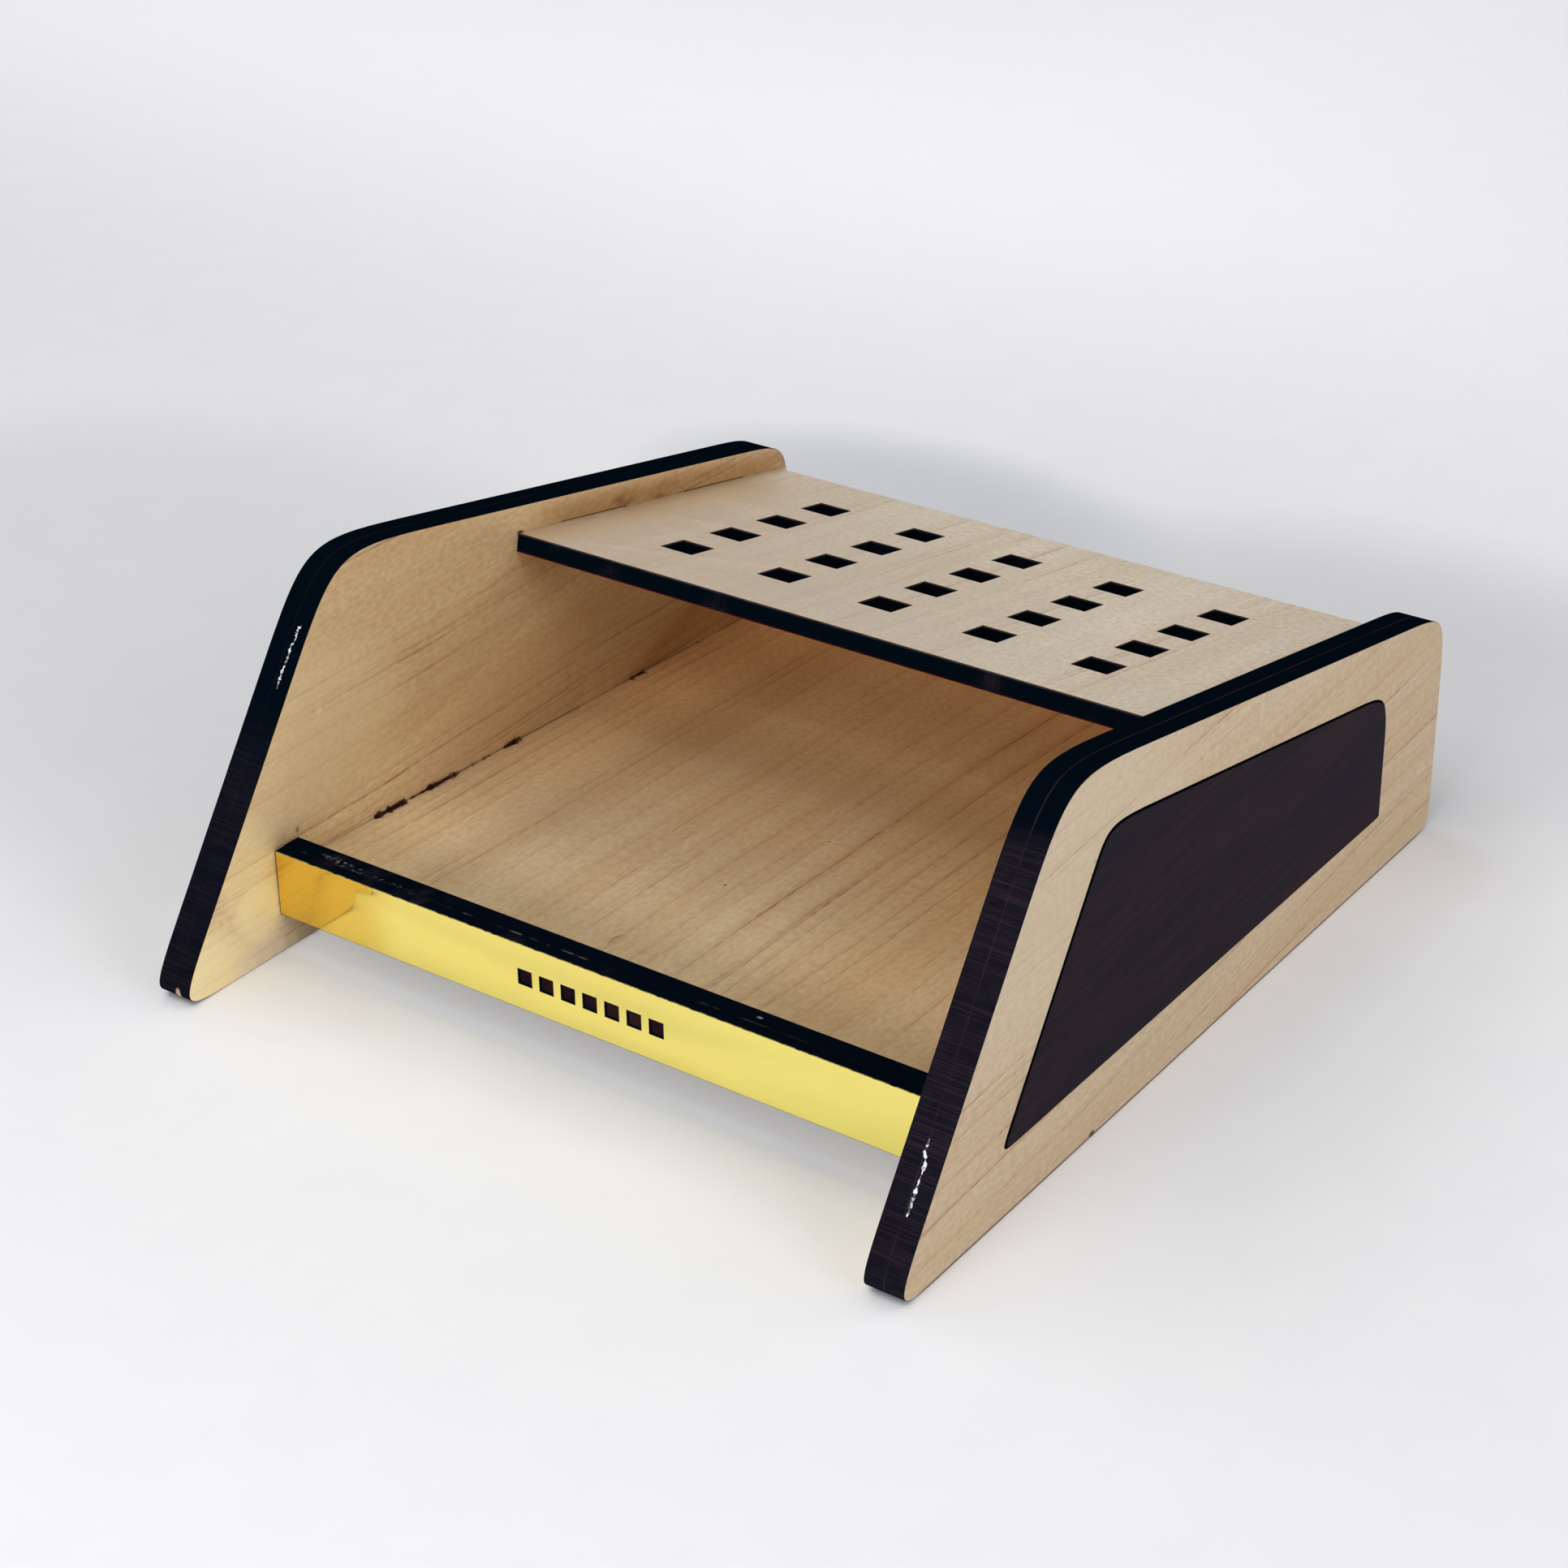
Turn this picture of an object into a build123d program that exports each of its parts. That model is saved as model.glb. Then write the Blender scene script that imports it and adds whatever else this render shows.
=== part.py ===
"""Memo holder: a desk tray for loose note paper, laser-cut from veneered board and glued up.

Two double-skinned cheeks with raked fronts carry a sloping floor, a holed panel over the back half,
a back panel and a low front rail that is faced with a gold mirror strip. Millimetres, +Z up, the open
front looks along -Y, and the origin is on the desk under the middle of the whole holder.
"""

import os
from math import cos, radians, sin, sqrt, tan

from build123d import *

# Sheet stock
board = 3.0  # veneered board of every wooden piece but the inlays
inlay_board = 3.2  # dark veneered board, so that an inlay stands just proud of its skin
mirror_board = 2.0  # gold mirror sheet of the strip on the rail

# Cheek outline, seen from the side
bay_width = 116.0  # clear width between the cheeks
cheek_depth = 150.0  # sharp front corner to the back edge
back_height = 36.7  # where the top line would meet the back edge
front_rake = 56.0  # degrees between the front edge and the desk
top_slope = 10.9  # degrees that the top edge falls towards the back
toe_sweep = 13.4  # a corner's soft curve reaches this far along both of its edges
heel_sweep = 8.0
shoulder_sweep = 14.0
brow_sweep_top = 23.0
brow_sweep_front = 20.0

# Dark inlay, let into a window in each outer cheek skin
frame_below = 10.3  # widths of the pale frame round the window
frame_front = 14.6
frame_above = 9.1
frame_back = 18.8
window_toe_sweep = 4.6
window_heel_sweep = 1.0
window_shoulder_sweep = 10.9
window_brow_sweep_top = 14.6
window_brow_sweep_front = 6.7
inlay_gap = 0.2  # laser kerf all round the inlay

# Front rail: a board that faces forwards, with the mirror strip glued on its front
rail_setback = 21.6  # front face of the strip, behind the sharp front corner
rail_lift = 6.3  # lower edge above the desk
rail_height = 10.6
strip_end_gap = 0.1  # the strip is butted between the cheeks

# Row of plain squares engraved in the strip
mark_count = 7
mark_size = 2.3
mark_pitch = 3.8
mark_depth = 0.4

# Floor that the paper lies on
floor_step = 3.7  # from the rail's top edge down to the floor
floor_slope = 2.25  # degrees that it falls towards the back
floor_joint_gap = 0.1  # between the floor's ends and what stands at them

# Holed panel over the back half
panel_drop = 4.4  # measured upright, from the cheek's top line to the panel's upper face
panel_inset = 2.5  # back edge, in front of the cheeks' back edge
panel_length = 69.8  # along its slope
hole_columns = 5
hole_rows = 4
hole_size = 5.9
hole_pitch_across = 18.3
hole_pitch_along = 12.65
hole_first_row = 15.7  # from the panel's front edge to the middle of the first row
hole_drift = -0.6  # the whole pattern sits this far off the middle

# Back panel
back_inset = 7.2  # rear face, in front of the cheeks' back edge
back_lift = 4.0  # lower edge above the desk
back_top_gap = 0.05  # under the holed panel, at the nearest arris

# Tabs on the ends of the cross pieces, and their slots in the inner cheek skins
tab_length = 16.0
tab_pitch = 32.0
floor_tab_count = 3
panel_tab_count = 2
back_tab_height = 10.0
rail_tab_height = 5.0
tab_gap = 0.1  # clearance all round a tab in its slot
tab_end_gap = 0.1  # a tab stops this far short of the outer skin

# Places worked out from the sizes above
inner_face = bay_width / 2
joint_face = inner_face + board
tab_reach = board - tab_end_gap
rail_top = rail_lift + rail_height
rail_back = rail_setback + mirror_board + board
cutter_width = bay_width + 4 * board


def corners(below, front, above, back):
    """Corners (y, z) of the cheek outline, moved in from each of its four straight edges."""
    rake = radians(front_rake)
    fall = tan(radians(top_slope))
    top_at_zero = back_height + cheek_depth * fall - above / cos(radians(top_slope))
    brow_y = (front + top_at_zero * cos(rake)) / (sin(rake) + fall * cos(rake))
    back_y = cheek_depth - back
    return [
        ((front + below * cos(rake)) / sin(rake), below),
        (back_y, below),
        (back_y, top_at_zero - back_y * fall),
        (brow_y, top_at_zero - brow_y * fall),
    ]


def swept_face(points, sweeps, gap=0.0):
    """A face in the upright plane through the middle of the holder, with a soft curve at each corner.

    Both handles of a curve lie on the sharp corner, so its bend grows and fades evenly. Each pair of
    sweeps says how far it reaches along the edge before the corner and along the edge after it. An
    outline that is drawn inside another one, a gap away, starts its curves at the same places.
    """
    places = [Vector(0, y, z) for y, z in points]
    curves = []
    for k, corner in enumerate(places):
        before = (places[k - 1] - corner).normalized()
        after = (places[(k + 1) % len(places)] - corner).normalized()
        trim = gap / tan(radians(before.get_angle(after)) / 2)
        reach_before, reach_after = [sweep - trim for sweep in sweeps[k]]
        curves.append(Bezier(corner + before * reach_before, corner, corner, corner + after * reach_after))
    straights = [Line(curves[k - 1] @ 1, curve @ 0) for k, curve in enumerate(curves)]
    return make_face(curves + straights)


def cheek_layer(face, first_x, thickness):
    """One board of the right cheek, cut to a face and laid with its inner side at first_x."""
    return extrude(Pos(first_x, 0, 0) * face, amount=thickness, dir=(1, 0, 0))


def cross_piece(length, thickness, tab_places, tab_size):
    """A board across the bay, lying flat with its front edge at y = 0 and its upper face at z = 0."""
    body = Box(bay_width, length, thickness, align=(Align.CENTER, Align.MIN, Align.MAX))
    for side in (-1, 1):
        for place in tab_places:
            tab = Box(tab_reach, tab_size, thickness, align=(Align.CENTER, Align.CENTER, Align.MAX))
            body += Pos(side * (inner_face + tab_reach / 2), place, 0) * tab
    return body


def slot_cutters(thickness, tab_places, tab_size):
    """The space that the tabs of a cross piece need, running right through both inner skins."""
    cutters = []
    for place in tab_places:
        cutter = Box(cutter_width, tab_size + 2 * tab_gap, thickness + 2 * tab_gap)
        cutters.append(Pos(0, place, -thickness / 2) * cutter)
    return cutters


def spread(count, pitch, middle):
    """Places of count tabs, evenly spaced about the middle of an edge."""
    return [middle + (k - (count - 1) / 2) * pitch for k in range(count)]


# Where each cross piece lies: its front upper edge, and its fall towards the back
back_rear_face = cheek_depth - back_inset
back_front_face = back_rear_face - board
floor_tilt = radians(floor_slope)
floor_front = rail_back + floor_joint_gap + board * sin(floor_tilt)
floor_length = (back_front_face - floor_joint_gap - floor_front) / cos(floor_tilt)
floor_place = Pos(0, floor_front, rail_top - floor_step) * Rot(-floor_slope, 0, 0)

panel_tilt = radians(top_slope)
panel_front = cheek_depth - panel_inset - panel_length * cos(panel_tilt)
panel_front_top = back_height - panel_drop + (cheek_depth - panel_front) * tan(panel_tilt)
panel_place = Pos(0, panel_front, panel_front_top) * Rot(-top_slope, 0, 0)

# Upright boards are drawn lying down and stood up, so that their upper face looks to the front
underside_drop = board / cos(panel_tilt) + (back_rear_face - panel_front) * tan(panel_tilt)
back_height_above_desk = panel_front_top - underside_drop - back_top_gap
back_span = back_height_above_desk - back_lift
back_place = Pos(0, back_front_face, back_lift) * Rot(90, 0, 0)
rail_place = Pos(0, rail_setback + mirror_board, rail_lift) * Rot(90, 0, 0)

floor_tab_places = spread(floor_tab_count, tab_pitch, floor_length / 2)
panel_tab_places = spread(panel_tab_count, tab_pitch, panel_length / 2)

floor_panel = floor_place * cross_piece(floor_length, board, floor_tab_places, tab_length)
back_panel = back_place * cross_piece(back_span, board, [back_span / 2], back_tab_height)
rail_backing = rail_place * cross_piece(rail_height, board, [rail_height / 2], rail_tab_height)

# Holed panel
top_panel = cross_piece(panel_length, board, panel_tab_places, tab_length)
for column in range(hole_columns):
    for row in range(hole_rows):
        hole_x = hole_drift + (column - (hole_columns - 1) / 2) * hole_pitch_across
        hole_y = hole_first_row + row * hole_pitch_along
        top_panel -= Pos(hole_x, hole_y, -board / 2) * Box(hole_size, hole_size, 2 * board)
top_panel = panel_place * top_panel

# Gold mirror strip on the front of the rail
strip_width = bay_width - 2 * strip_end_gap
rail_gold_strip = Pos(0, rail_setback, rail_lift) * Box(
    strip_width, mirror_board, rail_height, align=(Align.CENTER, Align.MIN, Align.MIN)
)
for k in range(mark_count):
    mark_x = (k - (mark_count - 1) / 2) * mark_pitch
    mark = Box(mark_size, 2 * mark_depth, mark_size)
    rail_gold_strip -= Pos(mark_x, rail_setback, rail_lift + rail_height / 2) * mark

# Cheek skins and inlay of the right side
cheek_sweeps = [
    (toe_sweep, toe_sweep),
    (heel_sweep, heel_sweep),
    (shoulder_sweep, shoulder_sweep),
    (brow_sweep_top, brow_sweep_front),
]
cheek_face = swept_face(corners(0, 0, 0, 0), cheek_sweeps)
window_sweeps = [
    (window_toe_sweep, window_toe_sweep),
    (window_heel_sweep, window_heel_sweep),
    (window_shoulder_sweep, window_shoulder_sweep),
    (window_brow_sweep_top, window_brow_sweep_front),
]
window_face = swept_face(corners(frame_below, frame_front, frame_above, frame_back), window_sweeps)
inlay_frame = [width + inlay_gap for width in (frame_below, frame_front, frame_above, frame_back)]
inlay_face = swept_face(corners(*inlay_frame), window_sweeps, inlay_gap)

inner_skin = cheek_layer(cheek_face, inner_face, board)
all_slots = [
    (floor_place, slot_cutters(board, floor_tab_places, tab_length)),
    (panel_place, slot_cutters(board, panel_tab_places, tab_length)),
    (back_place, slot_cutters(board, [back_span / 2], back_tab_height)),
    (rail_place, slot_cutters(board, [rail_height / 2], rail_tab_height)),
]
for place, cutters in all_slots:
    for cutter in cutters:
        inner_skin -= place * cutter
window = cheek_layer(window_face, joint_face, board)
outer_skin = cheek_layer(cheek_face, joint_face, board) - window
inlay = cheek_layer(inlay_face, joint_face, inlay_board)

pieces = {
    "right_cheek_inner": inner_skin,
    "right_cheek_outer": outer_skin,
    "right_inlay": inlay,
    "left_cheek_inner": mirror(inner_skin, about=Plane.YZ),
    "left_cheek_outer": mirror(outer_skin, about=Plane.YZ),
    "left_inlay": mirror(inlay, about=Plane.YZ),
    "floor_panel": floor_panel,
    "top_panel": top_panel,
    "back_panel": back_panel,
    "rail_backing": rail_backing,
    "rail_gold_strip": rail_gold_strip,
}

# The holder's depth runs from the foremost point of the toe's curve to the back edge of the cheeks
toe_root = sqrt(cos(radians(front_rake)))
toe_front = toe_sweep * (toe_root / (1 + toe_root)) ** 2
middle_y = (toe_front + cheek_depth) / 2

os.makedirs("parts", exist_ok=True)
for node, shape in pieces.items():
    export_step(Pos(0, -middle_y, 0) * shape, f"parts/{node}.step")
    print(node, round(shape.volume, 1))
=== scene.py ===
"""Looks of the memo holder: a laser-cut and glued desk tray in pale maple veneer, with burnt black edges,
dark inlays and a gold mirror strip. Metres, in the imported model's frame: +Z is up, and the open front
looks along -Y.
"""

import math
import random

import bmesh
import bpy
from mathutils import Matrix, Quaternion, Vector


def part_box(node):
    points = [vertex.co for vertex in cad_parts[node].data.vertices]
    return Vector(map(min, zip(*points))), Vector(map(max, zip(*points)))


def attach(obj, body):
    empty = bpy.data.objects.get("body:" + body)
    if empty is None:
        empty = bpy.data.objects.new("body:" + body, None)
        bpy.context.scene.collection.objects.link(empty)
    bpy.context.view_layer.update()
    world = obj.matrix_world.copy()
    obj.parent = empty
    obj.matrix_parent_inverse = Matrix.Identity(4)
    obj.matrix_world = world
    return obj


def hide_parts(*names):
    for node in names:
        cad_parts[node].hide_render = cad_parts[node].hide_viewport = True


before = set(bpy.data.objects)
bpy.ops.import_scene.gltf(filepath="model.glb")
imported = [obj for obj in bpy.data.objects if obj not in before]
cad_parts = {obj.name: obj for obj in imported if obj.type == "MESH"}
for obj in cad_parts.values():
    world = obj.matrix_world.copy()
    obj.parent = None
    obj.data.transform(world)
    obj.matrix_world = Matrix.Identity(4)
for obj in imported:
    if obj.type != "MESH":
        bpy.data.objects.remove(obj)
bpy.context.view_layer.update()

# The photograph's view.
# A short telephoto looks down on the right front corner. The picture is a square cut from a larger
# frame, so the lens axis lies a little above the middle of the picture.
picture_side = 1932
focal_pixels = 3982.4
axis_row = 850
view_azimuth = math.radians(35.84)
view_elevation = math.radians(26.704)
view_roll = math.radians(-0.796)
view_place = (0.24059, -0.34160, 0.24675)

to_viewer = Vector((
    math.sin(view_azimuth) * math.cos(view_elevation),
    -math.cos(view_azimuth) * math.cos(view_elevation),
    math.sin(view_elevation),
))
camera = bpy.data.objects.new("camera", bpy.data.cameras.new("camera"))
camera.data.sensor_width = 36
camera.data.lens = camera.data.sensor_width * focal_pixels / picture_side
camera.data.shift_y = (axis_row - picture_side / 2) / picture_side
camera.data.clip_start = 0.01
camera.location = view_place
camera.rotation_mode = "QUATERNION"
camera.rotation_quaternion = (-to_viewer).to_track_quat("-Z", "Y") @ Quaternion((0, 0, 1), view_roll)
bpy.context.scene.collection.objects.link(camera)
bpy.context.scene.camera = camera
bpy.context.scene.view_settings.view_transform = "Standard"

# Inner cheek skins.
# Each is 3 mm veneered board with slots for the tabs of the cross pieces. The laser leaves its edges
# black, and burns the veneer brown where a slot shows beside the floor or the top panel.
arris = 0.00008  # how far the laser eases each sharp edge
flat_angle = math.radians(0.5)  # faces that meet at less than this are one flat face
smooth_angle = math.radians(20)  # and at less than this they are shaded as one curve
sharp_angle = math.radians(40)  # and at more than this they meet in a sharp edge


def rgb(red, green, blue):
    """A colour as a screen shows it, 0 to 255, turned into the linear colour that a shader takes."""
    linear = []
    for part in (red, green, blue):
        share = part / 255
        linear.append(share / 12.92 if share <= 0.04045 else ((share + 0.055) / 1.055) ** 2.4)
    return (*linear, 1)


def cut_board(node, facing, ease=arris):
    """The board of a CAD node as one closed mesh, with each sharp edge eased, standing for that node.

    Its two faces, which look along facing, take its first material, and its cut edges the second.
    """
    shape = bmesh.new()
    shape.from_mesh(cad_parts[node].data)
    bmesh.ops.remove_doubles(shape, verts=shape.verts, dist=1e-6)
    bmesh.ops.dissolve_limit(shape, angle_limit=flat_angle, verts=shape.verts, edges=shape.edges)
    sharp = [edge for edge in shape.edges if edge.calc_face_angle(0) > sharp_angle]
    bmesh.ops.bevel(shape, geom=sharp, offset=ease, segments=2, profile=0.5, affect="EDGES")
    for face in shape.faces:
        face.smooth = True
        face.material_index = 0 if abs(face.normal.dot(Vector(facing))) > 0.99 else 1
    mesh = bpy.data.meshes.new(node + "_board")
    shape.to_mesh(mesh)
    shape.free()
    mesh.set_sharp_from_angle(angle=smooth_angle)
    board = bpy.data.objects.new(node + "_board", mesh)
    bpy.context.scene.collection.objects.link(board)
    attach(board, "root")
    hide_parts(node)
    return board


class Signal:
    """One value, colour or vector in a node tree. Arithmetic on signals adds the nodes for it."""

    def __init__(self, tree, socket):
        self.tree = tree
        self.socket = socket

    def math(self, operation, *others):
        node = add_node(self.tree, "ShaderNodeMath", operation=operation)
        for socket, value in zip(node.inputs, (self, *others)):
            feed(self.tree, value, socket)
        return Signal(self.tree, node.outputs[0])

    def __add__(self, other):
        return self.math("ADD", other)

    def __sub__(self, other):
        return self.math("SUBTRACT", other)

    def __mul__(self, other):
        return self.math("MULTIPLY", other)

    def __truediv__(self, other):
        return self.math("DIVIDE", other)

    def __abs__(self):
        return self.math("ABSOLUTE")

    def either(self, other):
        """The larger of the two."""
        return self.math("MAXIMUM", other)

    def dot(self, direction):
        node = add_node(self.tree, "ShaderNodeVectorMath", operation="DOT_PRODUCT")
        feed(self.tree, self, node.inputs[0])
        feed(self.tree, direction, node.inputs[1])
        return Signal(self.tree, node.outputs["Value"])

    def fade(self, start, end):
        """0 up to start, 1 from end on, and a smooth step between them. start may be the larger one."""
        node = add_node(self.tree, "ShaderNodeMapRange", interpolation_type="SMOOTHSTEP")
        feed(self.tree, self, node.inputs["Value"])
        feed(self.tree, start, node.inputs["From Min"])
        feed(self.tree, end, node.inputs["From Max"])
        return Signal(self.tree, node.outputs["Result"])


def add_node(tree, kind, **settings):
    """A new node of one kind, with its settings made."""
    node = tree.nodes.new(kind)
    for name, value in settings.items():
        setattr(node, name, value)
    return node


def feed(tree, value, socket):
    """Links a signal to a socket, or sets the socket to a plain value."""
    if isinstance(value, Signal):
        tree.links.new(value.socket, socket)
    else:
        socket.default_value = value


def vector(tree, x, y, z=0.0):
    node = add_node(tree, "ShaderNodeCombineXYZ")
    for socket, value in zip(node.inputs, (x, y, z)):
        feed(tree, value, socket)
    return Signal(tree, node.outputs[0])


def place_on(tree):
    """Where a shaded point lies on its board, in metres, and the board's outward direction there."""
    node = add_node(tree, "ShaderNodeTexCoord")
    return Signal(tree, node.outputs["Object"]), Signal(tree, node.outputs["Normal"])


def parts_of(place):
    """The x, y and z of a place or a direction."""
    node = add_node(place.tree, "ShaderNodeSeparateXYZ")
    feed(place.tree, place, node.inputs[0])
    return [Signal(place.tree, output) for output in node.outputs]


def cloud(tree, x, y, z=0.0, detail=2.0):
    """Smooth random values about 0.5, one bump for each unit of x, y and z."""
    node = add_node(tree, "ShaderNodeTexNoise")
    feed(tree, vector(tree, x, y, z), node.inputs["Vector"])
    feed(tree, 1.0, node.inputs["Scale"])
    feed(tree, detail, node.inputs["Detail"])
    return Signal(tree, node.outputs[0])


def dice(value):
    """A random value from 0 to 1 for each whole number."""
    node = add_node(value.tree, "ShaderNodeTexWhiteNoise", noise_dimensions="1D")
    feed(value.tree, value, node.inputs["W"])
    return Signal(value.tree, node.outputs["Value"])


def mix(tree, under, over, share):
    """Lays one colour over another, in a share from 0 to 1."""
    node = add_node(tree, "ShaderNodeMix", data_type="RGBA")
    feed(tree, share, node.inputs[0])
    feed(tree, under, node.inputs[6])
    feed(tree, over, node.inputs[7])
    return Signal(tree, node.outputs[2])


def tint(tree, colour, factors, share):
    """Multiplies a colour by three plain factors, in a share from 0 to 1."""
    node = add_node(tree, "ShaderNodeMix", data_type="RGBA", blend_type="MULTIPLY")
    feed(tree, share, node.inputs[0])
    feed(tree, colour, node.inputs[6])
    feed(tree, (*factors, 1), node.inputs[7])
    return Signal(tree, node.outputs[2])


def effect(name, takes, gives):
    """A new shader node group: its tree, its inputs as signals, and its output node."""
    tree = bpy.data.node_groups.new(name, "ShaderNodeTree")
    kinds = {"value": "NodeSocketFloat", "vector": "NodeSocketVector", "colour": "NodeSocketColor"}
    for label, kind in takes.items():
        tree.interface.new_socket(name=label, in_out="INPUT", socket_type=kinds[kind])
    for label, kind in gives.items():
        tree.interface.new_socket(name=label, in_out="OUTPUT", socket_type=kinds[kind])
    entry = add_node(tree, "NodeGroupInput")
    signals = {label: Signal(tree, entry.outputs[label]) for label in takes}
    return tree, signals, add_node(tree, "NodeGroupOutput")


def place_effect(tree, group, **values):
    """Puts a node group into a material with its own values, and returns its outputs as signals."""
    node = add_node(tree, "ShaderNodeGroup", node_tree=group)
    for label, value in values.items():
        feed(tree, value, node.inputs[label])
    return {output.name: Signal(tree, output) for output in node.outputs}


def growth_lines(across, along, gap, seed):
    """Beaded growth lines, about one in each gap: the shares of the thin line and of the tone beside it."""
    tree = across.tree
    count = across / gap
    line = count.math("ROUND")
    aside = (count - line - (dice(line + seed) - 0.5) * 0.5) * gap
    presence = dice(line + seed + 0.5).fade(0.2, 0.95)
    beads = cloud(tree, along * 520, line * 5.3, seed, detail=1.0).fade(0.32, 0.62)
    swell = cloud(tree, along * 30, line * 3.1, seed + 2).fade(0.32, 0.68)
    thin = abs(aside).fade(0.00030, 0.00005) * (beads * 0.65 + 0.35)
    soft = aside.fade(0.0017, 0.0) * aside.fade(-0.0003, 0.0001)
    strength = presence * (swell * 0.75 + 0.25)
    return thin * strength, soft * strength


def maple_figure():
    """Maple veneer: soft pale and warm bands, a few thin beaded growth lines, and a fine even mottle."""
    takes = {"grain": "vector", "across": "vector", "seed": "value", "line_gap": "value"}
    takes.update({"line_depth": "value", "pale": "colour", "warm": "colour", "line": "colour"})
    tree, given, out = effect("maple_figure", takes, {"colour": "colour", "relief": "value"})
    place, _ = place_on(tree)
    along = place.dot(given["grain"])
    across = place.dot(given["across"])
    seed = given["seed"]

    # Strong lines with faint ones between them, all wandering along the board
    wander = cloud(tree, across * 25, along * 9, seed) - 0.5
    ripple = cloud(tree, across * 160, along * 60, seed + 7) - 0.5
    drawn = across + wander * 0.006 + ripple * 0.0005
    bold, bold_tone = growth_lines(drawn, along, given["line_gap"], seed)
    faint, faint_tone = growth_lines(drawn + 0.001, along, given["line_gap"] * 0.47, seed + 31)
    lines = bold * 0.9 + faint * 0.45
    tones = bold_tone * 0.3 + faint_tone * 0.16

    # Broad bands and narrower ribbons of tone, the mottle, fibres, short pores and a few dark specks
    bands = cloud(tree, drawn * 90, along * 5, seed + 4).fade(0.32, 0.68)
    ribbons = cloud(tree, drawn * 270, along * 13, seed + 6, detail=1.0).fade(0.32, 0.68)
    mottle = cloud(tree, across * 1400, along * 700, seed + 9, detail=4.0).fade(0.3, 0.7)
    fibre = cloud(tree, across * 2400, along * 130, seed, detail=2.0)
    pores = cloud(tree, across * 1500, along * 420, seed + 5).fade(0.62, 0.74)
    specks = cloud(tree, across * 1100, along * 900, seed + 12, detail=1.0).fade(0.80, 0.84)

    colour = mix(tree, given["pale"], given["warm"], bands * 0.6 + ribbons * 0.35)
    colour = mix(tree, colour, given["line"], (lines + tones) * given["line_depth"])
    colour = mix(tree, colour, given["line"], mottle * 0.28 + fibre.fade(0.3, 0.75) * 0.08 + pores * 0.12)
    colour = mix(tree, colour, rgb(84, 60, 44), specks * 0.6)
    feed(tree, colour, out.inputs["colour"])
    feed(tree, fibre * 0.5 + mottle * 0.3 - pores * 0.5 - lines * 0.3, out.inputs["relief"])
    return tree


def burnt_edge():
    """A laser-cut edge: black char where it looks up, purple-brown elsewhere, with fine lines across it."""
    takes = {"facing": "vector", "black": "value"}
    tree, given, out = effect("burnt_edge", takes, {"colour": "colour", "relief": "value"})
    place, outward = place_on(tree)
    depth = place.dot(given["facing"])
    x, y, z = parts_of(place)
    side_x, side_y, side_z = parts_of(given["facing"])
    flat_x = x - side_x * depth
    flat_y = y - side_y * depth
    flat_z = z - side_z * depth
    slant = depth * 70
    strokes = cloud(tree, flat_x * 4200 + slant, flat_y * 4200 + slant, flat_z * 4200, detail=2.0)
    blotches = cloud(tree, x * 420, y * 420, z * 420, detail=3.0)
    bands = cloud(tree, flat_x * 90, flat_y * 90, flat_z * 90 + depth * 260, detail=3.0)
    burnt = rgb(3, 11, 20)
    purple = rgb(25, 23, 32)
    brown = rgb(50, 39, 45)
    colour = mix(tree, purple, rgb(16, 16, 26), blotches.fade(0.42, 0.62) * 0.6)
    colour = mix(tree, colour, brown, strokes.fade(0.45, 0.7) * (bands * 0.5 + 0.3))
    colour = mix(tree, colour, burnt, given["black"])
    square = abs(outward.dot(given["facing"]))
    colour = mix(tree, colour, rgb(66, 38, 38), square.fade(0.55, 0.8) * bands.fade(0.3, 0.7) * 0.55)
    feed(tree, colour, out.inputs["colour"])
    feed(tree, strokes + blotches * 0.5, out.inputs["relief"])
    return tree


maple_group = maple_figure()
burnt_group = burnt_edge()
maple_line = rgb(158, 108, 74)
# The inner faces are warmer and more saturated than the outer and top ones, partly in the veneer and partly
# as painted light bounced between the boards
inner_tones = (rgb(227, 204, 159), rgb(217, 184, 135))  # pale and warm


def new_material(name):
    """A new material, and its node tree, which holds a Principled BSDF."""
    material = bpy.data.materials.new(name)
    material.use_nodes = True
    return material, material.node_tree


def finish_surface(tree, colour, relief, roughness, gloss, bump_height):
    """Feeds the material's own shader: its colour, roughness, a plain gloss level and a fine bump."""
    shader = tree.nodes["Principled BSDF"]
    feed(tree, colour, shader.inputs["Base Color"])
    feed(tree, roughness, shader.inputs["Roughness"])
    shader.inputs["Specular IOR Level"].default_value = gloss
    bump = add_node(tree, "ShaderNodeBump")
    bump.inputs["Strength"].default_value = 0.35
    bump.inputs["Distance"].default_value = bump_height
    feed(tree, relief, bump.inputs["Height"])
    tree.links.new(bump.outputs["Normal"], shader.inputs["Normal"])


def scorch(tree, colour, burn):
    """Paints a burn on veneer: reddish brown where it is slight, and nearly black where it is strong."""
    colour = mix(tree, colour, rgb(96, 50, 31), burn.fade(0.03, 0.6))
    return mix(tree, colour, rgb(36, 18, 14), burn.fade(0.6, 1.0))


def maple_veneer(name, facing, grain, seed, tones, line_gap=0.0055, line_depth=0.6, marks=None):
    """Material of a board's veneered faces, in a pale and a warm tone. marks paints stains, burns, and
    painted light and shade on.
    """
    material, tree = new_material(name)
    grain = Vector(grain).normalized()
    figure = place_effect(
        tree,
        maple_group,
        grain=grain,
        across=Vector(facing).cross(grain),
        seed=seed,
        line_gap=line_gap,
        line_depth=line_depth,
        pale=tones[0],
        warm=tones[1],
        line=maple_line,
    )
    colour = marks(tree, figure["colour"]) if marks else figure["colour"]
    roughness = figure["relief"] * -0.15 + 0.5
    finish_surface(tree, colour, figure["relief"], roughness, gloss=0.45, bump_height=0.00005)
    return material


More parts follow.
